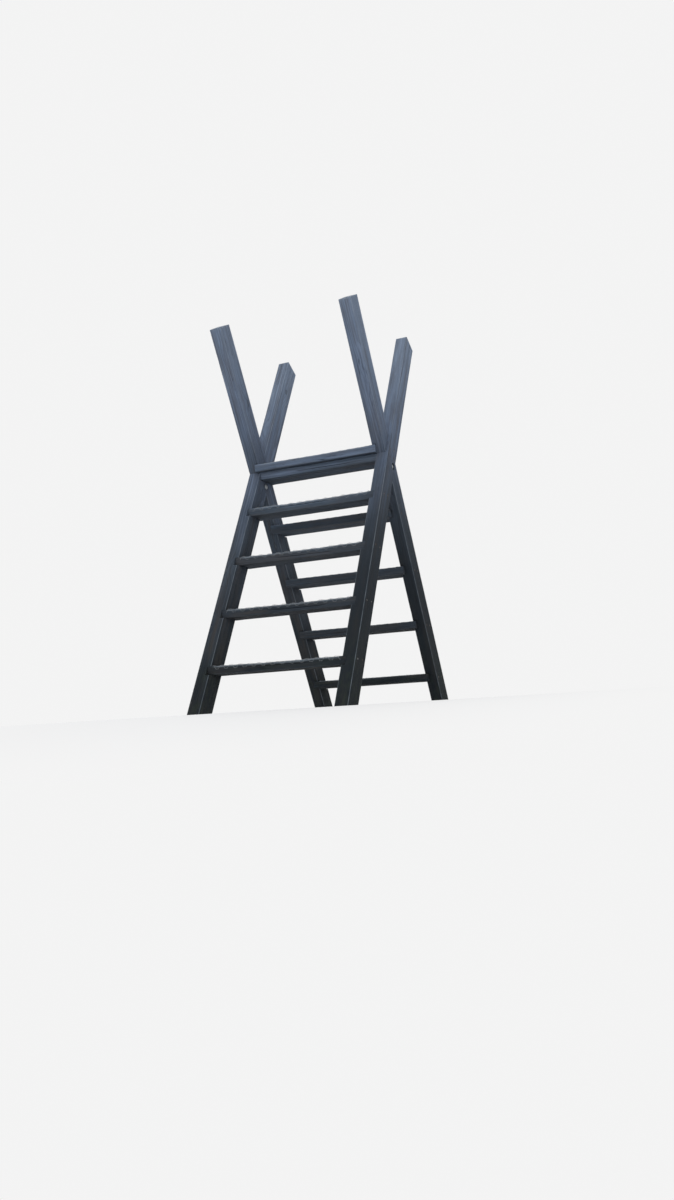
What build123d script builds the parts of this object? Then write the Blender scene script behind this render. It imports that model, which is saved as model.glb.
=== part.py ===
# Timber ladder stile: two ladders that cross and are halved together, so that their
# stringers run on past the crossing as four hand posts.
# Millimetres. X runs along the treads, Y from the near side to the far side, Z is up.
# The origin is on the ground, below the middle of the crossing.
import os
from math import cos, floor, radians, sin, tan

from build123d import *

# Stringers, all of one sawn section
lean = 29.0                  # degrees from upright
stringer_thickness = 67.0    # along X
stringer_depth = 110.0       # square to its length, in the side view
inner_width = 692.0          # between the near ladder's stringers
far_right_inset = 15.0       # the far right stringer stands this far inside the near one
crossing_height = 1330.0     # ground to the middle of the crossing
near_post_length = 870.0     # along the stringer, from the crossing to the near ladder's ends
far_post_length = 832.0      # the same on the far ladder
arris = 1.5                  # worn chamfer along every long edge

# Treads
tread_thickness = 42.0
tread_depth = 145.0          # front to back
tread_pitch = 290.0          # rise between a ladder's lower treads
lowest_rise = 150.0          # no tread is closer to the ground than this
near_top_rise = 270.0        # from the near ladder's next tread to the top step
far_top_rise = 318.0         # the same on the far ladder
top_step_lead = 5.0          # top step's near edge ahead of the far stringers' faces
housing_depth = 20.0         # cut into the stringers' inner faces
end_gap = 1.0                # between a tread's end and the bottom of its housing
housing_slack = 0.5          # over the tread in its housing, and at its edges where they are shut in
nose_radius = 4.0            # on a tread's long edges

# Halved joints and their bolts
lap_slack = 0.5              # at the shoulders of the halving
bolt_drop = 68.0             # bolt below the middle of the crossing
bolt_diameter = 12.0
bolt_slack = 0.5             # radial, in the timber and the washer
thread_slack = 0.2           # radial, between bolt and nut
bolt_tail = 2.0              # bolt past the nut
head_diameter = 28.0
head_height = 6.0
head_rounding = 0.8          # radius of the head's rim, as a share of its height
washer_diameter = 32.0
washer_thickness = 2.5
nut_width = 19.0             # across flats
nut_height = 10.0
recess_diameter = 38.0
recess_depth = 17.0          # hides washer and nut below the outer face
run_out = 1.0                # every cut passes the surface by this much

# The near ladder leans towards +Y as it rises, and the far one towards -Y
NEAR = 1
FAR = -1
LEFT = -1
RIGHT = 1
LADDER_NAME = {NEAR: "near", FAR: "far"}
SIDE_NAME = {LEFT: "left", RIGHT: "right"}

slope = radians(lean)
level_half = stringer_depth / 2 / cos(slope)
post_length = {NEAR: near_post_length, FAR: far_post_length}
top_rise = {NEAR: near_top_rise, FAR: far_top_rise}
top_step = crossing_height + tread_thickness
bolt_height = crossing_height - bolt_drop


def nose_y(way, height, slack=0.0):
    """Y of a ladder's outer face at a height, where its tread noses line up."""
    return way * ((height - crossing_height) * tan(slope) - level_half - slack)


def back_y(way, height, slack=0.0):
    """Y of a ladder's inner face at a height, on the side of the other ladder."""
    return way * ((height - crossing_height) * tan(slope) + level_half + slack)


def inner_x(way, side):
    """X of a stringer's inner face, where the treads are housed."""
    inset = far_right_inset if (way, side) == (FAR, RIGHT) else 0.0
    return side * (inner_width / 2 - inset)


def outer_x(way, side):
    return inner_x(way, side) + side * stringer_thickness


def lap_x(side):
    """X of the face where two halved stringers meet, midway in what they share."""
    return (inner_x(NEAR, side) + outer_x(FAR, side)) / 2


def tread_tops(way):
    """Heights of a ladder's treads, from the top one down.

    The far ladder's top tread is the top step. It lies on the near ladder's one, and
    the two meet at the height of the crossing.
    """
    second = top_step - top_rise[way]
    count = 1 + floor((second - lowest_rise) / tread_pitch)
    lower = [second - i * tread_pitch for i in range(count)]
    return [crossing_height if way == NEAR else top_step] + lower


def tread_span(way, top):
    """Low and high Y of a tread."""
    if top == top_step:
        low_y = back_y(FAR, top) - top_step_lead
        return low_y, low_y + tread_depth
    nose = nose_y(way, top)
    return min(nose, nose + way * tread_depth), max(nose, nose + way * tread_depth)


def side_outline(way, slack=0.0):
    """Corners of a stringer in the YZ plane: foot cut level, top cut square."""
    half = stringer_depth / 2 + slack
    end_y = post_length[way] * sin(slope)
    end_z = crossing_height + post_length[way] * cos(slope)
    return [
        (nose_y(way, 0, slack / cos(slope)), 0),
        (back_y(way, 0, slack / cos(slope)), 0),
        (way * (end_y + half * cos(slope)), end_z - half * sin(slope)),
        (way * (end_y - half * cos(slope)), end_z + half * sin(slope)),
    ]


def housing_spans(way):
    """Low and high Z and Y of each housing across one ladder's stringers."""
    spans = []
    for top in tread_tops(way)[1:]:
        low = top - tread_thickness
        high = top + housing_slack
        faces = [nose_y(way, low), nose_y(way, high), back_y(way, low), back_y(way, high)]
        spans.append((low, high, min(faces) - run_out, max(faces) + run_out))
    return spans


def top_housing_spans():
    """The same for the two top treads, which are shut in on all four sides."""
    spans = []
    for way in (NEAR, FAR):
        top = tread_tops(way)[0]
        low_y, high_y = tread_span(way, top)
        low = top - tread_thickness
        high = top + housing_slack
        spans.append((low, high, low_y - housing_slack, high_y + housing_slack))
    return spans


def make_stringer(way, side):
    low_x = min(inner_x(way, side), outer_x(way, side))
    with BuildPart() as stringer:
        with BuildSketch(Plane.YZ.offset(low_x)):
            with BuildLine():
                Polyline(*side_outline(way), close=True)
            make_face()
        extrude(amount=stringer_thickness)
        along = Axis((0, 0, crossing_height), (0, way * sin(slope), cos(slope)))
        chamfer(stringer.edges().filter_by(along), length=arris)

        # Halving: the near stringers keep their outer half, the far ones their inner half
        with BuildSketch(Plane.YZ.offset(lap_x(side))):
            with BuildLine():
                Polyline(*side_outline(-way, lap_slack), close=True)
            make_face()
        extrude(amount=-way * side * stringer_thickness, mode=Mode.SUBTRACT)

        # Housings: open at front and back for the lower treads, shut in for the top pair
        start_x = inner_x(FAR, side) - side * run_out
        cuts = [(span, inner_x(way, side)) for span in housing_spans(way)]
        cuts += [(span, inner_x(FAR, side)) for span in top_housing_spans()]
        for (low, high, low_y, high_y), face_x in cuts:
            with BuildSketch(Plane.YZ.offset(start_x)):
                with Locations(((low_y + high_y) / 2, (low + high) / 2)):
                    Rectangle(high_y - low_y, high - low)
            depth = abs(face_x - start_x) + housing_depth
            extrude(amount=side * depth, mode=Mode.SUBTRACT)

        # Bolt hole, with a recess for washer and nut in the outer face
        face = Plane(origin=(outer_x(way, side), 0, bolt_height), z_dir=(side, 0, 0))
        with Locations(face):
            if way == NEAR:
                CounterBoreHole(bolt_diameter / 2 + bolt_slack, recess_diameter / 2, recess_depth)
            else:
                Hole(bolt_diameter / 2 + bolt_slack)
    return stringer.part


def make_tread(way, low_x, high_x, top):
    low_y, high_y = tread_span(way, top)
    with BuildPart() as tread:
        with BuildSketch(Plane.YZ.offset(low_x)):
            with Locations(((low_y + high_y) / 2, top - tread_thickness / 2)):
                Rectangle(high_y - low_y, tread_thickness)
        extrude(amount=high_x - low_x)
        fillet(tread.edges().filter_by(Axis.X), nose_radius)
    return tread.part


def make_bolt(side):
    """Carriage bolt: domed head on the walking side, shank through both halves."""
    grip = abs(outer_x(NEAR, side) - inner_x(FAR, side)) - recess_depth
    seat = Plane(origin=(inner_x(FAR, side), 0, bolt_height), z_dir=(side, 0, 0))
    with BuildPart() as bolt:
        with BuildSketch(seat):
            Circle(head_diameter / 2)
        extrude(amount=-head_height)
        rim = bolt.edges().filter_by(GeomType.CIRCLE).sort_by(Axis.X)
        fillet(rim[0] if side == RIGHT else rim[-1], head_height * head_rounding)
        with BuildSketch(seat):
            Circle(bolt_diameter / 2)
        extrude(amount=grip + washer_thickness + nut_height + bolt_tail)
    return bolt.part


def make_washer(side):
    with BuildPart() as washer:
        floor_x = outer_x(NEAR, side) - side * recess_depth
        with BuildSketch(Plane(origin=(floor_x, 0, bolt_height), z_dir=(side, 0, 0))):
            Circle(washer_diameter / 2)
            Circle(bolt_diameter / 2 + bolt_slack, mode=Mode.SUBTRACT)
        extrude(amount=washer_thickness)
    return washer.part


def make_nut(side):
    with BuildPart() as nut:
        seat_x = outer_x(NEAR, side) - side * (recess_depth - washer_thickness)
        with BuildSketch(Plane(origin=(seat_x, 0, bolt_height), z_dir=(side, 0, 0))):
            RegularPolygon(nut_width / 2, 6, major_radius=False)
            Circle(bolt_diameter / 2 + thread_slack, mode=Mode.SUBTRACT)
        extrude(amount=nut_height)
    return nut.part


def save(part, name):
    part.label = name
    export_step(part, f"parts/{name}.step")


os.makedirs("parts", exist_ok=True)

for way in (NEAR, FAR):
    for side in (LEFT, RIGHT):
        save(make_stringer(way, side), f"{LADDER_NAME[way]}_{SIDE_NAME[side]}_stringer")

for way in (NEAR, FAR):
    for number, top in enumerate(tread_tops(way), start=1):
        # The top pair is housed in the crossing, where the far stringers are the inner ones
        ladder = FAR if number == 1 else way
        low_x = inner_x(ladder, LEFT) - housing_depth + end_gap
        high_x = inner_x(ladder, RIGHT) + housing_depth - end_gap
        save(make_tread(way, low_x, high_x, top), f"{LADDER_NAME[way]}_tread_{number}")

for side in (LEFT, RIGHT):
    save(make_bolt(side), f"{SIDE_NAME[side]}_bolt")
    save(make_washer(side), f"{SIDE_NAME[side]}_washer")
    save(make_nut(side), f"{SIDE_NAME[side]}_nut")
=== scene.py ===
import random
from math import cos, exp, hypot, pi, radians, sin, tan

import bmesh
import bpy
from mathutils import Matrix, Vector, noise
from mathutils.bvhtree import BVHTree


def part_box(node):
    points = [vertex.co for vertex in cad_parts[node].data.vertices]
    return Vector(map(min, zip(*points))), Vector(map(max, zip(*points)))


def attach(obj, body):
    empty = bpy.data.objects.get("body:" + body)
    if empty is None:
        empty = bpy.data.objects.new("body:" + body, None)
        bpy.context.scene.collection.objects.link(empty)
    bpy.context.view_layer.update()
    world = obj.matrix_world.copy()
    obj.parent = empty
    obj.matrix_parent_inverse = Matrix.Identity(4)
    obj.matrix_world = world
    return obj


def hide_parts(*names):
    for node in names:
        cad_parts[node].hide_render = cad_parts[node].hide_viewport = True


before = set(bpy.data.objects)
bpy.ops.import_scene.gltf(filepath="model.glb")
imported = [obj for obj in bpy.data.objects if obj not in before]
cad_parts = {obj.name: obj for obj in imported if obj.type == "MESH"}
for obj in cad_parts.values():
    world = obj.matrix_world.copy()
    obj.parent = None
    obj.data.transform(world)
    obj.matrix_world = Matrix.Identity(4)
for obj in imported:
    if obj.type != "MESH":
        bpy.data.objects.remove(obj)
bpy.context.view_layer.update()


def measured(value):
    """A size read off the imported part, to a tenth of a millimetre."""
    return round(value, 4)


# Lengths are metres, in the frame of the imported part. MM writes a size in millimetres.
MM = 0.001
X, Y, UP = Vector((1, 0, 0)), Vector((0, 1, 0)), Vector((0, 0, 1))
LADDERS = {"near": 1, "far": -1}       # the near ladder leans towards +Y as it rises
SIDES = {"left": -1, "right": 1}

stringer_low, stringer_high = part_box("near_left_stringer")
top_step_low, top_step_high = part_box("far_tread_1")
bolt_low, bolt_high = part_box("left_bolt")
LEAN = radians(29)
STRINGER_SECTION = (measured(stringer_high.x - stringer_low.x), 110 * MM)
CROSSING_HEIGHT = measured(top_step_low.z)
TREAD_THICKNESS = measured(top_step_high.z - top_step_low.z)
BOLT_HEIGHT = measured((bolt_low.z + bolt_high.z) / 2)
BOLT_HEAD_RADIUS = measured((bolt_high.z - bolt_low.z) / 2)
RECESS_RADIUS = 19 * MM                # the hollow round a nut
NAIL_HEAD_RADIUS = 4.8 * MM


# Materials

def linear(hex_colour):
    """An sRGB hex colour as linear RGBA."""
    def channel(value):
        return value / 12.92 if value <= 0.04045 else ((value + 0.055) / 1.055) ** 2.4
    return (*[channel(int(hex_colour[i:i + 2], 16) / 255) for i in (1, 3, 5)], 1.0)


def add(tree, kind, inputs=None, stops=None, **settings):
    """Adds a node with its settings. An input, named or numbered, is a value or a node's output."""
    made = tree.nodes.new("ShaderNode" + kind)
    for name, value in settings.items():
        setattr(made, name, value)
    for name, value in (inputs or {}).items():
        if isinstance(value, bpy.types.NodeSocket):
            tree.links.new(value, made.inputs[name])
        else:
            made.inputs[name].default_value = value
    for number, (place, shade) in enumerate(stops or []):
        ramp = made.color_ramp.elements
        stop = ramp[number] if number < 2 else ramp.new(place)
        stop.position = place
        stop.color = shade if isinstance(shade, tuple) else (shade, shade, shade, 1.0)
    return made


def new_material(name):
    material = bpy.data.materials.new(name)
    material.use_nodes = True
    material.node_tree.nodes.clear()
    return material, material.node_tree


def patches(tree, log, across, along, detail=3.0, rough=0.5):
    """Shades from 0 to 1 in patches of so many millimetres across and along the grain."""
    scale = Vector((1 / across, 1 / across, 1 / along)) / MM
    sized = add(tree, "VectorMath", {0: log, 1: scale}, operation="MULTIPLY").outputs[0]
    return add(tree, "TexNoise", {"Vector": sized, "Scale": 1.0, "Detail": detail,
                                  "Roughness": rough}).outputs["Fac"]


def softwood_knots(tree, log):
    """Hard ovals about 20 mm wide, dark at the rim. Returns where they are, their shades, and how far
    the grain is swept round them."""
    spacing = Vector((1 / 150, 1 / 150, 1 / 320)) / MM
    sized = add(tree, "VectorMath", {0: log, 1: spacing}, operation="MULTIPLY").outputs[0]
    to_knot = add(tree, "TexVoronoi", {"Vector": sized, "Scale": 1.0}).outputs["Distance"]
    rim = patches(tree, log, 9, 16, 2.0)
    ragged = add(tree, "Math", {0: rim, 1: 0.06}, operation="MULTIPLY").outputs[0]
    from_knot = add(tree, "Math", {0: to_knot, 1: ragged}, operation="ADD").outputs[0]
    knot = add(tree, "ValToRGB", {"Fac": from_knot}, [(0.1, 0.6), (0.13, 0.0)]).outputs[0]
    knot_shade = add(tree, "ValToRGB", {"Fac": from_knot}, [
        (0.035, linear("#33373a")), (0.05, linear("#565c61")), (0.09, linear("#4a5055")),
        (0.11, linear("#2e3338"))]).outputs[0]
    sweep = add(tree, "ValToRGB", {"Fac": from_knot}, [(0.08, 1.0), (0.42, 0.0)]).outputs[0]
    return knot, knot_shade, sweep


def softwood_late_wood(tree, log, sweep):
    """The hard dark part of each growth ring, from 0 to 1. The rings are 6 mm apart, drawn wider than
    the real 3 mm so that they show, and they wander along the trunk and round the knots."""
    drift = patches(tree, log, 70, 900, 2.0)
    wander = add(tree, "Math", {0: drift, 1: 30 * MM}, operation="MULTIPLY").outputs[0]
    bulge = add(tree, "Math", {0: sweep, 1: 16 * MM, 2: wander}, operation="MULTIPLY_ADD").outputs[0]
    flat = add(tree, "VectorMath", {0: log, 1: (1, 1, 0)}, operation="MULTIPLY").outputs[0]
    radius = add(tree, "VectorMath", {0: flat}, operation="LENGTH").outputs["Value"]
    warped = add(tree, "Math", {0: radius, 1: bulge}, operation="ADD").outputs[0]
    turns = add(tree, "Math", {0: warped, 1: 1 / (6 * MM)}, operation="MULTIPLY").outputs[0]
    within = add(tree, "Math", {0: turns}, operation="FRACT").outputs[0]
    return add(tree, "ValToRGB", {"Fac": within},
               [(0.0, 0.15), (0.35, 0.0), (0.8, 0.75), (0.93, 1.0), (1.0, 0.15)]).outputs[0]


def softwood_hair_checks(tree, log):
    """Fine cracks along the contour of a drawn-out pattern, where another pattern allows them."""
    drawn_out = patches(tree, log, 12, 380, 1.0)
    contour = add(tree, "ValToRGB", {"Fac": drawn_out}, [(0.487, 0.0), (0.5, 1.0), (0.513, 0.0)]).outputs[0]
    broad = patches(tree, log, 60, 300, 1.0)
    allowed = add(tree, "ValToRGB", {"Fac": broad}, [(0.5, 0.0), (0.68, 0.8)]).outputs[0]
    return add(tree, "Math", {0: contour, 1: allowed}, operation="MULTIPLY").outputs[0]


def softwood_skin(tree, log, height, skin_and_shade_colours):
    """Bleached slate grey towards the top and the sky, dark below and where it is stained. The darkening
    lower down and on undersides is partly painted shade, and faces turned up are partly painted light.
    """
    stains = patches(tree, log, 110, 420, 4.0, 0.55)
    normal = add(tree, "NewGeometry").outputs["Normal"]
    facing = add(tree, "SeparateXYZ", {"Vector": normal}).outputs["Z"]
    # Faces turned up are lighter and undersides darker: painted light and shade, with some bleaching
    skyward_light_and_bleach = add(tree, "Math", {0: facing, 1: 0.11}, operation="MULTIPLY").outputs[0]
    # Darker lower down: weathering, and painted shade over the lower parts
    risen = add(tree, "Math", {0: height, 1: 1 / 2.8, 2: skyward_light_and_bleach}, operation="MULTIPLY_ADD").outputs[0]
    exposure_and_light = add(tree, "Math", {0: stains, 1: 0.32, 2: risen}, operation="MULTIPLY_ADD").outputs[0]
    stops = [(at, linear(shade)) for at, shade in skin_and_shade_colours]
    return add(tree, "ValToRGB", {"Fac": exposure_and_light}, stops).outputs[0]


def softwood_soiling_and_shade(tree, log, height):
    """How dark the wood is painted where the timbers store dirt and painted shade, beside the joints, under
    the top step, low on the right-hand stringers and round a nut, and how dirty it is near the ground; and
    how green with algae it is near the ground."""
    damp = add(tree, "Attribute", attribute_name="damp").outputs["Fac"]
    low_down = add(tree, "MapRange", {"Value": height, "From Min": 0.0, "From Max": 0.45, "To Min": 0.56,
                                      "To Max": 0.0}).outputs[0]
    darkening = add(tree, "Math", {0: damp, 1: low_down}, operation="MAXIMUM").outputs[0]
    soiled_and_shaded = add(tree, "Math", {0: darkening, 1: 0.6}, operation="MULTIPLY").outputs[0]
    blotches = patches(tree, log, 24, 60, 5.0, 0.65)
    bloom = add(tree, "ValToRGB", {"Fac": blotches}, [(0.42, 0.0), (0.62, 0.45)]).outputs[0]
    green = add(tree, "Math", {0: low_down, 1: bloom}, operation="MULTIPLY").outputs[0]
    return soiled_and_shaded, green


def sawn_softwood_weathered_and_shaded(name, bareness, skin_and_shade_colours):
    """Softwood, sawn rough and left outdoors for years. The soft early wood has worn away between the
    hard rings, the skin is slate grey where light and rain reach it, darkened with dirt and painted shade
    beside the joints, and with painted shade under the top step and low on the right-hand stringers, and
    the edges that hands and boots rub show paler wood, as far as bareness says. The skin's colours run
    from the most sheltered and shaded wood to the most exposed and lit, and their dark end is partly
    painted shade."""
    material, tree = new_material(name)
    # Each timber stores a place in its log: Z runs with the grain, round the heart at X = Y = 0
    log = add(tree, "Attribute", attribute_name="log").outputs["Vector"]
    place = add(tree, "TexCoord").outputs["Object"]
    height = add(tree, "SeparateXYZ", {"Vector": place}).outputs["Z"]
    knot, knot_shade, sweep = softwood_knots(tree, log)
    late_wood = softwood_late_wood(tree, log, sweep)
    hair_checks = softwood_hair_checks(tree, log)
    fibres = patches(tree, log, 1.5, 80, 2.0, 0.7)
    streaks = patches(tree, log, 16, 700, 4.0, 0.68)

    streaked = add(tree, "ValToRGB", {"Fac": streaks}, [(0.28, 0.7), (0.5, 0.98), (0.72, 1.27)]).outputs[0]
    fibred = add(tree, "ValToRGB", {"Fac": fibres}, [(0.3, 0.86), (0.7, 1.12)]).outputs[0]
    ringed = add(tree, "ValToRGB", {"Fac": late_wood}, [(0.0, 1.07), (1.0, 0.76)]).outputs[0]
    colour = softwood_skin(tree, log, height, skin_and_shade_colours)
    for tone in (streaked, fibred, ringed):
        colour = add(tree, "Mix", {0: 1.0, 6: colour, 7: tone}, data_type="RGBA",
                     blend_type="MULTIPLY").outputs[2]

    thin_skin = patches(tree, log, 30, 240, 5.0, 0.6)
    brown = add(tree, "ValToRGB", {"Fac": thin_skin}, [(0.45, 0.0), (0.7, 0.42)]).outputs[0]
    soiled_and_shaded, green = softwood_soiling_and_shade(tree, log, height)
    rubbed = add(tree, "Attribute", attribute_name="rubbed").outputs["Fac"]
    bared = add(tree, "Math", {0: rubbed, 1: bareness}, operation="MULTIPLY").outputs[0]
    bare_wood = add(tree, "ValToRGB", {"Fac": fibres}, [
        (0.3, linear("#7a8692")), (0.7, linear("#a6b0ba"))]).outputs[0]
    stained = add(tree, "Attribute", attribute_name="stained").outputs["Fac"]
    rust_run = add(tree, "Math", {0: stained, 1: streaked}, operation="MULTIPLY").outputs[0]
    open_split = add(tree, "Attribute", attribute_name="split").outputs["Fac"]
    # The open splits and hair checks are painted dark
    dark_in_cracks = add(tree, "Math", {0: open_split, 1: hair_checks}, operation="MAXIMUM").outputs[0]
    # What lies over the skin: brown where it is thin, dirt and painted shade, algae, bare wood, rust that
    # has run from the iron, knots, and the dark painted in the cracks
    for share, shade in ((brown, linear("#504a46")), (soiled_and_shaded, linear("#1b2126")), (green, linear("#3d4636")),
                         (bared, bare_wood), (rust_run, linear("#3f3833")), (knot, knot_shade),
                         (dark_in_cracks, linear("#191a1c"))):
        colour = add(tree, "Mix", {0: share, 6: colour, 7: shade}, data_type="RGBA").outputs[2]

    # Raised late wood and knots, fibres, and hair checks, a millimetre deep at most
    ridges = add(tree, "Math", {0: late_wood, 1: knot}, operation="MAXIMUM").outputs[0]
    fuzz = add(tree, "Math", {0: ridges, 1: 0.5, 2: fibres}, operation="MULTIPLY_ADD").outputs[0]
    relief = add(tree, "Math", {0: fuzz, 1: hair_checks}, operation="SUBTRACT").outputs[0]
    bump = add(tree, "Bump", {"Height": relief, "Strength": 0.9, "Distance": 1.0 * MM}).outputs[0]
    rough = add(tree, "ValToRGB", {"Fac": streaks}, [(0.2, 0.76), (0.8, 0.94)]).outputs[0]
    shader = add(tree, "BsdfPrincipled", {"Base Color": colour, "Roughness": rough, "Normal": bump,
                                          "Specular IOR Level": 0.12})
    add(tree, "OutputMaterial", {"Surface": shader.outputs[0]})
    return material


def galvanised_steel_weathered(name, rust):
    """Hot-dip galvanised steel gone dull outdoors: a grey zinc skin with a faint spangle, and rust
    where it has worn through, from hardly any at 0 to most of it at 1."""
    material, tree = new_material(name)
    place = add(tree, "TexCoord").outputs["Object"]
    spangle = add(tree, "TexVoronoi", {"Vector": place, "Scale": 1 / (4 * MM)}).outputs["Color"]
    grey = add(tree, "RGBToBW", {"Color": spangle}).outputs[0]
    zinc = add(tree, "ValToRGB", {"Fac": grey}, [
        (0.0, linear("#878c90")), (1.0, linear("#a9aeb2"))]).outputs[0]
    blotch = add(tree, "TexNoise", {"Vector": place, "Scale": 1 / (9 * MM), "Detail": 5.0,
                                    "Roughness": 0.65}).outputs["Fac"]
    worn_through = add(tree, "ValToRGB", {"Fac": blotch}, [
        (0.62 - 0.3 * rust, 0.0), (0.72 - 0.3 * rust, 1.0)]).outputs[0]
    grain = add(tree, "TexNoise", {"Vector": place, "Scale": 1 / (0.8 * MM), "Detail": 3.0}).outputs["Fac"]
    oxide = add(tree, "ValToRGB", {"Fac": grain}, [
        (0.3, linear("#332a25")), (0.7, linear("#574338"))]).outputs[0]
    colour = add(tree, "Mix", {0: worn_through, 6: zinc, 7: oxide}, data_type="RGBA").outputs[2]
    metal = add(tree, "ValToRGB", {"Fac": worn_through}, [(0.0, 0.6), (1.0, 0.05)]).outputs[0]
    rough = add(tree, "ValToRGB", {"Fac": worn_through}, [(0.0, 0.5), (1.0, 0.9)]).outputs[0]
    bump = add(tree, "Bump", {"Height": grain, "Strength": 0.4, "Distance": 0.2 * MM}).outputs[0]
    shader = add(tree, "BsdfPrincipled", {"Base Color": colour, "Metallic": metal, "Roughness": rough,
                                          "Normal": bump})
    add(tree, "OutputMaterial", {"Surface": shader.outputs[0]})
    return material


def matt_floor_pale(name, backdrop):
    """A plain pale studio floor with no gloss. Away from the stile the camera sees it fade into the
    backdrop, so that no horizon shows."""
    material, tree = new_material(name)
    place = add(tree, "TexCoord").outputs["Object"]
    away = add(tree, "VectorMath", {0: place}, operation="LENGTH").outputs["Value"]
    faded = add(tree, "MapRange", {"Value": away, "From Min": 0.6, "From Max": 2.4, "To Min": 0.4},
                interpolation_type="SMOOTHSTEP").outputs[0]
    seen = add(tree, "Math", {0: faded, 1: add(tree, "LightPath").outputs["Is Camera Ray"]},
               operation="MULTIPLY").outputs[0]
    matt = add(tree, "BsdfPrincipled", {"Base Color": linear("#ebecee"), "Roughness": 0.9,
                                        "Specular IOR Level": 0.1})
    plain = add(tree, "Emission", {"Color": linear("#ffffff"), "Strength": backdrop})
    mixed = add(tree, "MixShader", {0: seen, 1: matt.outputs[0], 2: plain.outputs[0]})
    add(tree, "OutputMaterial", {"Surface": mixed.outputs[0]})
    return material


# Pieces

def add_piece(name, bm, material):
    """Makes a shape into a piece that rides with the part."""
    mesh = bpy.data.meshes.new(name)
    bm.to_mesh(mesh)
    bm.free()
    mesh.materials.append(material)
    mesh.set_sharp_from_angle(angle=radians(38))
    piece = bpy.data.objects.new(name, mesh)
    bpy.context.scene.collection.objects.link(piece)
    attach(piece, "root")
    return piece


def merged_copy(node):
    """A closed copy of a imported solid, with its loose triangles merged into flat faces."""
    bm = bmesh.new()
    bm.from_mesh(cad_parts[node].data)
    bmesh.ops.remove_doubles(bm, verts=bm.verts, dist=0.02 * MM)
    bmesh.ops.dissolve_limit(bm, angle_limit=radians(0.5), verts=bm.verts, edges=bm.edges)
    return bm


def slice_across(bm, normal, distances):
    """Cuts every face along planes square to the normal, so that the surface can be worn."""
    for distance in distances:
        bmesh.ops.bisect_plane(bm, geom=bm.verts[:] + bm.edges[:] + bm.faces[:], dist=1e-6,
                               plane_co=normal * distance, plane_no=normal)


def spread(low, high, step):
    """Places between two ends, about a step apart."""
    count = max(1, round((high - low) / step))
    return [low + (high - low) * i / count for i in range(1, count)]


def ease(value):
    """A value held between 0 and 1, with a soft start and end."""
    value = min(max(value, 0.0), 1.0)
    return value * value * (3 - 2 * value)


def uneven(*place):
    """Smooth chance from -1 to 1, always the same at one place."""
    return noise.noise(Vector(place))


def uneven_share(*place):
    """The same from 0 to 1."""
    return 0.5 + 0.5 * uneven(*place)


# Timber

EDGE_ROWS = [e * MM for e in (0.8, 2, 3.6, 6, 10)]     # cuts beside a long edge, from the edge
END_ROWS = [e * MM for e in (1.2, 2.8, 5, 8)]          # cuts below a sawn top end, from the end
HEAD_ROWS = (-1.6, -0.8, 0, 0.8, 1.6)                  # cuts across a nail's or bolt's head, in its radii
FACE_ROW = 9 * MM                                      # from cut to cut on the rest of a face
STRINGER_ROW = 12 * MM                                 # from cut to cut along a stringer
TREAD_ROW = 10 * MM
FACE_WEAR = 0.9 * MM                                   # how far a face has worn back at most
HEAD_DENT = 1.4 * MM                                   # how far a hammered-in head has pressed the wood
END_ROUNDING = 1.8 * MM
BOOT_WEAR = 3.2 * MM                                   # how far boots have hollowed a tread at most
JOINT_DIRT_AND_SHADE = 0.12                                      # beside a joint, for dirt and painted shade, where 1 is as dark as it gets
COVERED_SHADE = 0.1                                     # painted shade on the tread that lies under the top step, with some dirt
RIGHT_SIDE_SHADE = 1.15                                     # painted shade low on the right-hand stringers
SHADED_FROM, SHADED_FULLY = 1.5, 0.6                   # heights between which that painted shade comes in


class Split:
    """A drying split with the grain, in the face that the timber's X or Y axis meets."""

    def __init__(self, axis, face, across, low, high, depth, width):
        self.axis, self.face, self.across = axis, face, across
        self.low, self.high, self.depth, self.half_width = low, high, depth, width / 2

    def rows(self):
        return [self.across - self.half_width, self.across, self.across + self.half_width]

    def open(self, co, half):
        """Presses the wood back under the split's middle row. Returns how open it is there."""
        aside = abs(co[1 - self.axis] - self.across) / self.half_width
        if aside >= 1 or not self.low < co[2] < self.high or co[self.axis] * self.face < 0:
            return 0.0
        middle, reach = (self.low + self.high) / 2, (self.high - self.low) / 2
        taper = (1 - ((co[2] - middle) / reach) ** 2) ** 0.6
        depth = self.depth * taper * (1 - aside)
        margin = 6 * MM
        under = half[self.axis] - co[self.axis] * self.face
        if under < depth + margin:
            pressed = depth + under * margin / (depth + margin)
            co[self.axis] = self.face * (half[self.axis] - pressed)
        return taper * (1 - aside)

    def wander(self, co):
        """Sways the wood beside the split, so that it doesn't run dead straight."""
        reach, most, wave = 14 * MM, 3.2 * MM, 110 * MM
        aside = (co[1 - self.axis] - self.across) / reach
        if co[self.axis] * self.face > 0 and abs(aside) < 3:
            # Each split has a sway of its own, because its place and depth are its own
            sway = most * uneven(co[2] / wave, self.across * 50, self.depth * 90)
            co[1 - self.axis] += sway * exp(-aside * aside)


def round_edge(from_a, from_b, radius):
    """Distances from two faces of an edge, with the wood outside that radius pressed onto its arc."""
    a, b = radius - from_a, radius - from_b
    if a <= 0 or b <= 0:
        return from_a, from_b
    share = max(a, b) / hypot(a, b)
    return radius - a * share, radius - b * share


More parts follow.
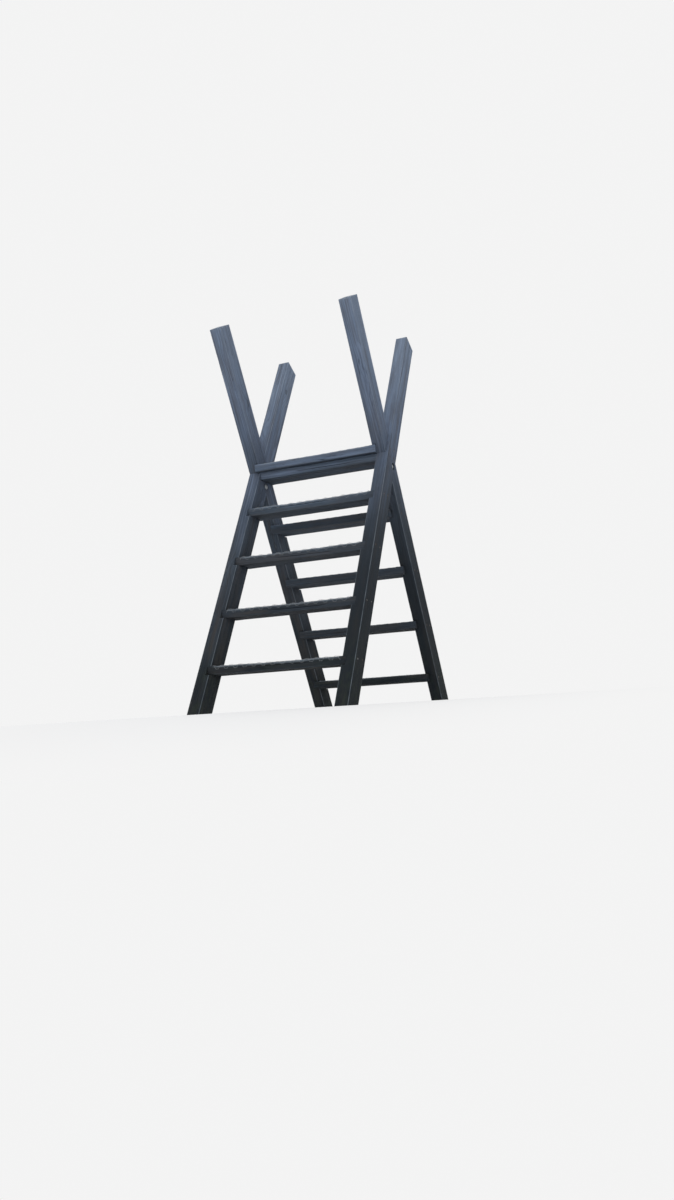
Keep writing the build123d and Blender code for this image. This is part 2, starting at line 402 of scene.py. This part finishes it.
class Timber:
    """A sawn timber. Its X axis crosses the thickness, its Y axis the depth, and Z follows the grain."""

    def __init__(self, node, across, grain, centre, section, seed):
        self.node, self.seed = node, seed
        self.half = (section[0] / 2, section[1] / 2)
        self.to_row = Matrix((across, grain.cross(across), grain)).transposed().to_4x4()
        self.to_row.translation = centre
        self.draw = random.Random(seed)
        self.chips = []                # places along its edges where the wood is broken away
        self.splits = []
        self.iron = []                 # places on its faces where nails and bolts go in, with their radii
        self.dirt_and_shade_spans = []           # stretches of the grain beside a joint, painted darker for dirt and shade, with the face they are on
        self.covered_shade = 0.0             # how dark it is painted everywhere, covered by another piece: painted shade with some dirt
        self.shade = 0.0               # how dark it is painted below, on the right-hand side: painted shade
        self.rubbing = {}              # edges that are rubbed less than fully, with their share
        self.recess = None             # where a nut lies in a round hollow, which is painted dark

    def iron_at(self, place, radius):
        self.iron.append((self.to_row.inverted() @ place, radius))

    def begin(self, along):
        """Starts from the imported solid, in the timber's own axes and cut into rows."""
        self.bm = merged_copy(self.node)
        self.bm.transform(self.to_row.inverted())
        low = min(v.co.z for v in self.bm.verts)
        self.high = max(v.co.z for v in self.bm.verts)
        rows = spread(low, self.high, along) + [self.high - e for e in END_ROWS]
        rows += [place.z + e * radius for place, radius in self.iron for e in HEAD_ROWS]
        slice_across(self.bm, UP, sorted(rows))
        for axis, normal in enumerate((X, Y)):
            edge = [self.half[axis] - e for e in EDGE_ROWS]
            rows = edge + [-e for e in edge] + spread(-edge[-1], edge[-1], FACE_ROW)
            rows += [r for s in self.splits if s.axis != axis for r in s.rows()]
            if axis == 1:
                # Heads that line up share their cuts
                rows += {round(place.y + e * radius, 4) for place, radius in self.iron for e in HEAD_ROWS}
            slice_across(self.bm, normal, sorted(rows))
        self.rubbed = self.bm.verts.layers.float.new("rubbed")
        self.split = self.bm.verts.layers.float.new("split")
        self.stained = self.bm.verts.layers.float.new("stained")
        self.damp = self.bm.verts.layers.float.new("damp")
        self.log = self.bm.verts.layers.float_vector.new("log")
        self.foot = [v for v in self.bm.verts if (self.to_row @ v.co).z < 0.01 * MM]

    def edge_radius(self, sides, along, least, most):
        """How far an edge is worn round at a place along the grain."""
        share = uneven_share(along / 0.07, self.seed, sides[0] * 2 + sides[1])
        radius = least + (most - least) * share
        for chipped, middle, length, depth in self.chips:
            if chipped == sides:
                radius += depth * exp(-((along - middle) / length) ** 2)
        return radius

    def around_iron(self, co):
        """How deep a hammered-in head has pressed the wood at a place, and how rusty the wood is."""
        dent = rust = 0.0
        for place, radius in self.iron:
            aside, along = co.y - place.y, co.z - place.z
            if co.x * place.x > 0 and -0.15 < along < 0.05:
                close = exp(-(aside * aside + along * along) / (1.5 * radius) ** 2)
                dent = max(dent, HEAD_DENT * close)
                below = exp(along / (38 * MM)) if along < 0 else 0.0
                streak = below * exp(-(aside / (0.8 * radius)) ** 2)
                rust = max(rust, 0.55 * close, 0.4 * streak)
        return dent, rust

    def dirt_and_shade_at(self, co):
        """How dark the wood is painted at a place, for dirt and painted shade: in the hollow round a nut,
        under cover, beside a joint, and low on the right-hand side.
        """
        # The hollow round a nut is painted as dark as it gets
        if self.recess and hypot(co.y - self.recess.y, co.z - self.recess.z) < 1.05 * RECESS_RADIUS:
            return 1.0
        below = (SHADED_FROM - (self.to_row @ co).z) / (SHADED_FROM - SHADED_FULLY)
        beside_joint = [JOINT_DIRT_AND_SHADE * ease(1 - abs(co.z - middle) / reach)
                        for middle, reach, face in self.dirt_and_shade_spans if co.x * face >= 0]
        return max([self.shade * ease(below), self.covered_shade] + beside_joint)

    def wear(self, exposed, least, most, by_edge=None):
        """Rounds the long edges, opens the splits and makes the faces slightly uneven. It stores how
        rubbed, rusty and split the wood is, and how dark it is painted for dirt and shade, for the material."""
        hx, hy = self.half
        for v in self.bm.verts:
            co = v.co
            sides = (1 if co.x > 0 else -1, 1 if co.y > 0 else -1)
            from_x, from_y = hx - abs(co.x), hy - abs(co.y)
            bare = exposed(co.z)
            low, high = (by_edge or {}).get(sides, (least, most))
            radius = self.edge_radius(sides, co.z, low, high) * bare
            closeness = ease(1 - hypot(max(from_x, 0), max(from_y, 0)) / (1.6 * high))
            mottled = uneven_share(co.z / 0.03, self.seed + 5.5, sides[0] + 3 * sides[1])
            v[self.rubbed] = closeness * bare * (0.3 + 0.7 * mottled) * self.rubbing.get(sides, 1.0)
            dent, v[self.stained] = self.around_iron(co)
            v[self.damp] = self.dirt_and_shade_at(co)
            opened = max([s.open(co, self.half) for s in self.splits] or [0.0])
            v[self.split] = ease(2 * opened)
            from_x, from_y = round_edge(hx - abs(co.x), hy - abs(co.y), radius)
            worn_x = FACE_WEAR * uneven_share(co.y / 0.04, co.z / 0.2, self.seed + sides[0])
            worn_y = FACE_WEAR * uneven_share(co.x / 0.04, co.z / 0.2, self.seed + 9 + sides[1])
            from_x += (worn_x * bare + dent) * max(0.0, 1 - from_x / hx)
            from_y += worn_y * bare * max(0.0, 1 - from_y / hy)
            co.x, co.y = sides[0] * (hx - from_x), sides[1] * (hy - from_y)

    def finish(self, name, material):
        """Stores each point's place in the log, puts the timber in its place and keeps it inside the
        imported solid's box, with its foot flat on the floor."""
        heart = self.draw.choice((-1, 1)) * self.draw.uniform(45, 80) * MM
        in_log = Vector((heart, self.draw.uniform(-70, 70) * MM, 4.0 * self.seed))
        for v in self.bm.verts:
            v[self.log] = v.co + in_log
            for split in self.splits:
                split.wander(v.co)
        self.bm.transform(self.to_row)
        low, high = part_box(self.node)
        for v in self.bm.verts:
            v.co = [min(max(v.co[i], low[i]), high[i]) for i in range(3)]
        for v in self.foot:
            v.co.z = low.z
        for face in self.bm.faces:
            face.smooth = True
        many_sided = [f for f in self.bm.faces if len(f.verts) > 4]
        bmesh.ops.triangulate(self.bm, faces=many_sided)
        bmesh.ops.recalc_face_normals(self.bm, faces=self.bm.faces)
        piece = add_piece(name, self.bm, material)
        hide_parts(self.node)
        return piece


def tread_nodes(ladder):
    return [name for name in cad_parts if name.startswith(ladder + "_tread")]


def nail_places(ladder, side):
    """Where two nails go through a stringer's outer face into the end of each of its treads. The top
    pair is nailed through the near stringers, the outer ones at the crossing."""
    way = LADDERS[ladder]
    low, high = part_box(f"{ladder}_{side}_stringer")
    outer = low.x if SIDES[side] < 0 else high.x
    # Millimetres from the middle of the stringer. The top step stands ahead of the other treads.
    boards = {name: (-28, 28) for name in tread_nodes(ladder)}
    if ladder == "near":
        boards["far_tread_1"] = (-34, 20)
    else:
        del boards["far_tread_1"]
    draw = random.Random(f"nails {ladder} {side}")
    places = []
    for name, offsets in boards.items():
        low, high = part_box(name)
        height = (low.z + high.z) / 2
        for offset in offsets:
            stray = Vector((0, draw.uniform(-4, 4) * MM, draw.uniform(-5, 5) * MM))
            middle = way * (height - CROSSING_HEIGHT) * tan(LEAN)
            places.append(Vector((outer, middle + offset * MM, height)) + stray)
    return places


def split_and_chip_stringer(timber):
    """Draws splits and chips anywhere along a stringer, and two splits that open at its top end."""
    draw = timber.draw
    foot = -CROSSING_HEIGHT / cos(LEAN)
    for _ in range(4):
        axis = draw.choice((0, 0, 1))
        reach = timber.half[1 - axis] - 18 * MM
        middle, length = draw.uniform(foot, 0.7), draw.uniform(0.12, 0.4)
        timber.splits.append(Split(axis, draw.choice((-1, 1)), draw.uniform(-reach, reach),
                                   middle - length / 2, middle + length / 2,
                                   draw.uniform(3, 7) * MM, 1.8 * MM))
    for axis in (0, 1):
        timber.splits.append(Split(axis, draw.choice((-1, 1)), draw.uniform(-12, 12) * MM,
                                   draw.uniform(0.6, 0.75), 1.1, draw.uniform(8, 14) * MM, 2.2 * MM))
    for _ in range(10):
        sides = (draw.choice((-1, 1)), draw.choice((-1, 1)))
        timber.chips.append((sides, draw.uniform(foot, 0.8), draw.uniform(8, 30) * MM,
                             draw.uniform(1, 3) * MM))


def round_top_end(timber):
    """Wears a stringer's sawn top end round at its rim."""
    for v in timber.bm.verts:
        from_end = timber.high - v.co.z
        if from_end < 6 * MM:
            for axis in (0, 1):
                from_face = timber.half[axis] - abs(v.co[axis])
                from_face, from_end = round_edge(from_face, from_end, END_ROUNDING)
                v.co[axis] = (timber.half[axis] - from_face) * (1 if v.co[axis] > 0 else -1)
            v.co.z = timber.high - from_end
            v[timber.rubbed] = max(v[timber.rubbed], 0.3)


def make_stringer(ladder, side, seed, material):
    """A stringer from its foot to the top of its hand post. It is worn least where it is halved."""
    node = f"{ladder}_{side}_stringer"
    way = LADDERS[ladder]
    low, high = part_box(node)
    grain = Vector((0, way * sin(LEAN), cos(LEAN)))
    centre = Vector(((low.x + high.x) / 2, 0, CROSSING_HEIGHT))
    timber = Timber(node, -way * X, grain, centre, STRINGER_SECTION, seed)
    # Painted shade low on the right-hand stringers
    timber.shade = RIGHT_SIDE_SHADE if side == "right" else 0.0
    for place in nail_places(ladder, side):
        timber.iron_at(place, NAIL_HEAD_RADIUS)
    if ladder == "far":
        inner = high.x if SIDES[side] < 0 else low.x
        timber.iron_at(Vector((inner, 0, BOLT_HEIGHT)), BOLT_HEAD_RADIUS)
    else:
        timber.recess = timber.to_row.inverted() @ Vector((centre.x, 0, BOLT_HEIGHT))
    inner_face = way * SIDES[side]
    # Beside each housing the inner face is painted darker, for dirt and painted shade
    for name in tread_nodes(ladder):
        tread_low, tread_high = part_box(name)
        middle = ((tread_low.z + tread_high.z) / 2 - CROSSING_HEIGHT) / cos(LEAN)
        timber.dirt_and_shade_spans.append((middle, 60 * MM, inner_face))
    split_and_chip_stringer(timber)
    timber.begin(STRINGER_ROW)
    timber.wear(lambda along: 0.35 + 0.65 * ease((abs(along) - 0.08) / 0.1), 0.8 * MM, 2.5 * MM)
    round_top_end(timber)
    return timber.finish(node + "_timber", material)


def split_and_chip_tread(timber, housed):
    """Draws splits in a tread's top and bottom, one in its nose, and chips along its top front edge."""
    draw = timber.draw
    inside = timber.half[1] - 20 * MM
    for _ in range(3):
        face = draw.choice((-1, 1))
        length = draw.uniform(0.12, 0.4)
        middle = draw.uniform(-0.2, 0.2)
        timber.splits.append(Split(0, face, draw.uniform(-inside, inside), middle - length / 2,
                                   middle + length / 2, draw.uniform(4, 9) * MM, 2.2 * MM))
    middle = draw.uniform(-0.15, 0.15)
    timber.splits.append(Split(1, 1, draw.uniform(-6, 6) * MM, middle - 0.16, middle + 0.16,
                               6 * MM, 2.2 * MM))
    for _ in range(9):
        timber.chips.append(((1, 1), draw.uniform(-housed, housed), draw.uniform(6, 22) * MM,
                             draw.uniform(2, 6) * MM))


def hollow_by_boots(timber, exposed, at_back):
    """Wears the top of a tread hollow, fully at its nose and by a share of that at its back."""
    half_thickness, nose = timber.half
    for v in timber.bm.verts:
        share = at_back + (1 - at_back) * ease((v.co.y / nose + 1) / 2)
        trodden = share * exposed(v.co.z) * exp(-(v.co.z / 0.21) ** 2)
        ripple = 0.8 + 0.2 * uneven(v.co.z / 0.05, v.co.y / 0.03, timber.seed)
        raised = (v.co.x / half_thickness + 1) / 2
        v.co.x -= BOOT_WEAR * trodden * ripple * raised
        if v.co.x > half_thickness - 8 * MM:
            v[timber.rubbed] = max(v[timber.rubbed], 0.45 * trodden * ripple)


def make_tread(node, ladder, seed, material):
    """A tread, worn at its nose and hollowed by boots. Of the two that lie on each other at the crossing,
    the upper one is reached from both sides, and the lower one is covered, and painted darker for the
    shade under the upper one."""
    upper, covered = node == "far_tread_1", node == "near_tread_1"
    low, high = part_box(node)
    section = (TREAD_THICKNESS, high.y - low.y)
    timber = Timber(node, UP, LADDERS[ladder] * X, (low + high) / 2, section, seed)
    timber.rubbing = {(-1, -1): 0.2, (-1, 1): 0.2}
    housed = (high.x - low.x) / 2 - 22 * MM
    rounded = {(1, 1): (4 * MM, 7 * MM), (-1, 1): (2 * MM, 4.5 * MM)}
    if upper:
        rounded[(1, -1)] = rounded[(1, 1)]
    if covered:
        rounded = {}
        # Painted shade under the top step, with some dirt
        timber.covered_shade = COVERED_SHADE

    def exposed(along):
        return ease((housed - abs(along)) / (25 * MM))

    split_and_chip_tread(timber, housed)
    timber.begin(TREAD_ROW)
    timber.wear(exposed, 1 * MM, 2.5 * MM, rounded)
    if not covered:
        hollow_by_boots(timber, exposed, 1.0 if upper else 0.35)
    return timber.finish(node + "_timber", material)


# Grip netting

NET_CELL = 50 * MM           # along the wires
NET_ROW = 19 * MM            # from one row of twists to the next
NET_TWIST = 12 * MM          # length of a twist
NET_ROWS = 8
NET_WIRE_RADIUS = 0.5 * MM
NET_FROM_END = 26 * MM       # from a tread's end, which is housed
NET_FROM_BACK = 8 * MM       # from a tread's back edge to the first row
STAPLE_RADIUS = 0.8 * MM
STAPLE_HALF_WIDTH = 4 * MM
STAPLE_HEIGHT = 2.2 * MM     # over the wood, with the wire under it
STAPLE_LEG = 9 * MM          # in the wood


def net_wire(number, along):
    """How far a wire of the netting lies across it and above it at a place along its length. It zigzags
    between two rows, and in each it is twisted with the next wire through three half turns."""
    phase = (along / NET_CELL + 0.5 * number) % 1.0
    side = 1 if phase < 0.5 else -1
    through, twist = phase % 0.5, NET_TWIST / NET_CELL
    turned = 3 * pi * min(through / twist, 1.0)
    crossed = ease((through - twist) / (0.5 - twist))
    row = number + (crossed if side > 0 else 1 - crossed)
    return row * NET_ROW + side * NET_WIRE_RADIUS * cos(turned), NET_WIRE_RADIUS * (1 + side * sin(turned))


def make_netting(node, ladder, tread, material):
    """Hexagonal wire netting stapled over a tread and its nose for grip."""
    way = LADDERS[ladder]
    low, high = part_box(node)
    back, nose = (high.y, low.y) if way > 0 else (low.y, high.y)
    depth = high.y - low.y
    start, end = low.x + NET_FROM_END, high.x - NET_FROM_END
    slip = random.Random("netting " + node).uniform(0, 1) * NET_CELL
    bm = bmesh.new()
    bm.from_mesh(tread.data)
    surface = BVHTree.FromBMesh(bm)
    bm.free()

    def past_nose(across):
        return across + NET_FROM_BACK - depth

    def on_tread(along, across, raised):
        """A place on the worn wood, from the back of the tread over its nose and down its front."""
        over = past_nose(across)
        if over < 0:
            flat = Vector((along, back - way * (across + NET_FROM_BACK), high.z))
        else:
            flat = Vector((along, nose, high.z - over))
        place, normal = surface.find_nearest(flat)[:2]
        return place + normal * raised

    net = bpy.data.curves.new(node + "_netting", "CURVE")
    net.dimensions = "3D"
    net.bevel_depth = NET_WIRE_RADIUS
    net.bevel_resolution = 1
    net.use_fill_caps = True

    def lay(points, thickness=1.0):
        spline = net.splines.new("POLY")
        spline.points.add(len(points) - 1)
        for point, place in zip(spline.points, points):
            point.co = (*place, 1.0)
            point.radius = thickness

    steps = int((end - start) / (NET_CELL / 16))
    for number in range(NET_ROWS):
        path = []
        for i in range(steps + 1):
            along = start + (end - start) * i / steps
            across, raised = net_wire(number, along + slip)
            # Springy wire: it stands off the wood between its staples, most of all over the nose
            at_nose = exp(-(past_nose(across) / (9 * MM)) ** 2)
            spring = uneven_share(along / 0.06, across / 0.03, 7.7) * (0.6 + 3.4 * at_nose) * MM
            path.append(on_tread(along, across, NET_WIRE_RADIUS + raised + spring))
        lay(path)
    for row in (1, NET_ROWS - 1):
        # A staple over every other twist
        for i in range(1, 13, 2):
            along = (i + 0.5 * (row % 2)) * NET_CELL + NET_TWIST / 2 - slip + start - start % NET_CELL
            if start < along < end:
                legs = [row * NET_ROW - STAPLE_HALF_WIDTH, row * NET_ROW + STAPLE_HALF_WIDTH]
                lay([on_tread(along, legs[0], -STAPLE_LEG), on_tread(along, legs[0], STAPLE_HEIGHT),
                     on_tread(along, legs[1], STAPLE_HEIGHT), on_tread(along, legs[1], -STAPLE_LEG)],
                    STAPLE_RADIUS / NET_WIRE_RADIUS)
    net.materials.append(material)
    piece = bpy.data.objects.new(net.name, net)
    bpy.context.scene.collection.objects.link(piece)
    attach(piece, "root")


# Colours of the skin, from the most sheltered and shaded wood to the most exposed and lit. Their dark
# end is partly painted shade.
stringer_wood = sawn_softwood_weathered_and_shaded("stringer_sawn_softwood_weathered", 0.62, [
    (0.19, "#252a2f"), (0.29, "#2d343a"), (0.39, "#373e47"), (0.5, "#454e59"), (0.59, "#566172"),
    (0.71, "#667388"), (0.79, "#6f7d92"), (0.89, "#7b899e")])
# The treads' colours darken faster lower down, for painted shade under the treads above
tread_wood = sawn_softwood_weathered_and_shaded("tread_sawn_softwood_trodden_and_shaded", 0.85, [
    (0.12, "#1a1e23"), (0.23, "#272d34"), (0.33, "#353c44"), (0.44, "#3f4751"), (0.55, "#4a5562"),
    (0.61, "#576475"), (0.67, "#657388"), (0.79, "#738297")])
net_wire_zinc = galvanised_steel_weathered("netting_galvanised_wire", 0.0)
seed = 1
for ladder in LADDERS:
    for side in SIDES:
        make_stringer(ladder, side, seed, stringer_wood)
        seed += 1
    for node in tread_nodes(ladder):
        tread = make_tread(node, ladder, seed, tread_wood)
        if node != "near_tread_1":
            make_netting(node, ladder, tread, net_wire_zinc)
        seed += 1


# Ironwork

def turn(bm, outline, to_place, closed=False, steps=32):
    """Turns an outline of (along, radius) millimetres about an axis that starts along X."""
    line = [bm.verts.new(to_place @ Vector((along * MM, 0, radius * MM))) for along, radius in outline]
    edges = [bm.edges.new(pair) for pair in zip(line, line[1:])]
    if closed:
        edges.append(bm.edges.new((line[-1], line[0])))
    bmesh.ops.spin(bm, geom=line + edges, cent=to_place.translation, axis=to_place.to_3x3() @ X,
                   angle=radians(360), steps=steps, use_merge=True)


def add_iron(name, bm, material):
    bmesh.ops.remove_doubles(bm, verts=bm.verts, dist=0.002 * MM)
    bmesh.ops.recalc_face_normals(bm, faces=bm.faces)
    for face in bm.faces:
        face.smooth = True
    return add_piece(name, bm, material)


def facing_out(place, outwards):
    """Moves a turned piece to a place, with its own X axis along the row's X or against it."""
    return Matrix.Translation(place) @ Matrix.Rotation(0 if outwards > 0 else radians(180), 4, "Z")


def make_nails(ladder, side, material):
    """Flat round heads hammered in a little below the face, and the shanks they hold the treads with."""
    head = [(0, 0), (0.2, 2.8), (0.6, 4.2), (1.1, 4.8), (1.6, 4.5)]
    shank = [(2.0, 2.1), (92, 2.1), (98, 0)]
    draw = random.Random(f"nail heads {ladder} {side}")
    bm = bmesh.new()
    for place in nail_places(ladder, side):
        sunk = place - SIDES[side] * X * draw.uniform(0.5, 1.0) * MM
        tilt = Matrix.Rotation(radians(draw.uniform(-3, 3)), 4, "Y")
        turn(bm, head + shank, facing_out(sunk, -SIDES[side]) @ tilt, steps=16)
    return add_iron(f"{ladder}_{side}_nails", bm, material)


def make_bolt(side, material):
    """Cup head on the walking side, plain shank, and a thread that the nut leaves showing."""
    node = f"{side}_bolt"
    low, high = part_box(node)
    length = (high.x - low.x) / MM
    head = low if SIDES[side] > 0 else high
    head_radius, head_height, dome_height, shank_radius = 14.0, 6, 5.8, 6.0
    quarter = [radians(90) * i / 6 for i in range(7)]
    outline = [(dome_height * (1 - cos(a)), head_radius * sin(a)) for a in quarter]
    outline += [(head_height, head_radius - 0.3), (head_height, shank_radius)]
    thread_pitch, thread_root, thread_start, thread_end = 1.75, 5.1, length - 21, length - 1.2
    for number in range(int((thread_end - thread_start) / thread_pitch)):
        outline += [(thread_start + number * thread_pitch, shank_radius),
                    (thread_start + (number + 0.5) * thread_pitch, thread_root)]
    outline += [(length - 1, shank_radius - 0.3), (length, 4.9), (length, 0)]
    bm = bmesh.new()
    turn(bm, outline, facing_out(Vector((head.x, 0, BOLT_HEIGHT)), SIDES[side]))
    bolt = add_iron(node + "_forged", bm, material)
    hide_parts(node)


def make_washer(side, material):
    """Stamped from sheet, with its edges broken."""
    node = f"{side}_washer"
    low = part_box(node)[0]
    outline = [(0, 6.7), (0, 15.6), (0.4, 16), (2.1, 16), (2.5, 15.6), (2.5, 6.9)]
    bm = bmesh.new()
    turn(bm, outline, facing_out(Vector((low.x, 0, BOLT_HEIGHT)), 1), closed=True)
    washer = add_iron(node + "_pressed", bm, material)
    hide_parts(node)


def make_nut(side, material):
    """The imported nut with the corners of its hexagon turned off."""
    node = f"{side}_nut"
    low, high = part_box(node)
    bm = merged_copy(node)
    centre = (low + high) / 2
    corner = (high.z - low.z) / 2
    rim = [e for e in bm.edges if abs(e.verts[0].co.x - e.verts[1].co.x) < 0.01 * MM
           and all(hypot(v.co.y - centre.y, v.co.z - centre.z) > 0.98 * corner for v in e.verts)]
    bmesh.ops.bevel(bm, geom=rim, offset=0.9 * MM, segments=2, profile=0.5, affect="EDGES", material=-1)
    nut = add_iron(node + "_chamfered", bm, material)
    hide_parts(node)


bolt_steel = galvanised_steel_weathered("bolt_galvanised_steel", 0.1)
nail_steel = galvanised_steel_weathered("nail_galvanised_steel", 0.8)
for ladder in LADDERS:
    for side in SIDES:
        make_nails(ladder, side, nail_steel)
for side in SIDES:
    make_bolt(side, bolt_steel)
    make_washer(side, bolt_steel)
    make_nut(side, bolt_steel)


# Studio

def make_floor(backdrop):
    """Flat under the stile. In front of it the ground falls away, because the camera stands low."""
    reach, brow, bend, fall = 30.0, -0.87, 0.7, 0.17
    bm = bmesh.new()
    bmesh.ops.create_grid(bm, x_segments=1, y_segments=1, size=reach)
    slice_across(bm, Y, [brow - bend * i / 16 for i in range(17)])
    for v in bm.verts:
        past = max(0.0, brow - v.co.y)
        v.co.z = -fall * (past * past / (2 * bend) if past < bend else past - bend / 2)
    mesh = bpy.data.meshes.new("floor")
    bm.to_mesh(mesh)
    bm.free()
    mesh.shade_smooth()
    mesh.materials.append(matt_floor_pale("matt_floor", backdrop))
    floor = bpy.data.objects.new("floor", mesh)
    bpy.context.scene.collection.objects.link(floor)


def make_lamp(name, place, size, power):
    """A square soft lamp that points at the middle of the stile."""
    lamp = bpy.data.lights.new(name, "AREA")
    lamp.size, lamp.energy = size, power
    holder = bpy.data.objects.new(name, lamp)
    holder.location = place
    holder.rotation_euler = (UP - Vector(place)).to_track_quat("-Z", "Y").to_euler()
    bpy.context.scene.collection.objects.link(holder)


def make_world(light, backdrop):
    """Even light from all round. The camera and reflections see a paler backdrop than lights the object."""
    world = bpy.data.worlds.new("studio")
    world.use_nodes = True
    tree = world.node_tree
    tree.nodes.clear()
    ray = add(tree, "LightPath").outputs
    glossy = add(tree, "Math", {0: ray["Is Camera Ray"], 1: ray["Is Glossy Ray"]},
                 operation="MAXIMUM").outputs[0]
    seen = add(tree, "Math", {0: glossy, 1: ray["Is Transmission Ray"]}, operation="MAXIMUM").outputs[0]
    strength = add(tree, "MapRange", {"Value": seen, "To Min": light, "To Max": backdrop}).outputs[0]
    background = add(tree, "Background", {"Color": linear("#ffffff"), "Strength": strength})
    add(tree, "OutputWorld", {"Surface": background.outputs[0]})
    bpy.context.scene.world = world


def make_camera():
    """Low in front of the stile and to its right, looking slightly up, as the photograph was taken."""
    photo_height, focal_pixels, sensor = 1200, 968.2, 36.0
    camera = bpy.data.cameras.new("camera")
    camera.sensor_width = sensor
    camera.lens = focal_pixels * sensor / photo_height
    holder = bpy.data.objects.new("camera", camera)
    place = Matrix.Translation((2.056, -4.739, -0.077))
    heading = Matrix.Rotation(radians(22.95), 4, "Z")
    tilt = Matrix.Rotation(radians(90 + 7.31), 4, "X")
    roll = Matrix.Rotation(radians(-2.97), 4, "Z")
    holder.matrix_world = place @ heading @ tilt @ roll
    bpy.context.scene.collection.objects.link(holder)
    bpy.context.scene.camera = holder


BACKDROP = 0.9
make_floor(BACKDROP)
make_lamp("key", (-2.6, 2.6, 4.2), 3.0, 130)
make_lamp("fill", (2.4, -4.5, 3.0), 3.5, 80)
make_world(0.62, BACKDROP)
make_camera()
bpy.context.scene.view_settings.view_transform = "Standard"
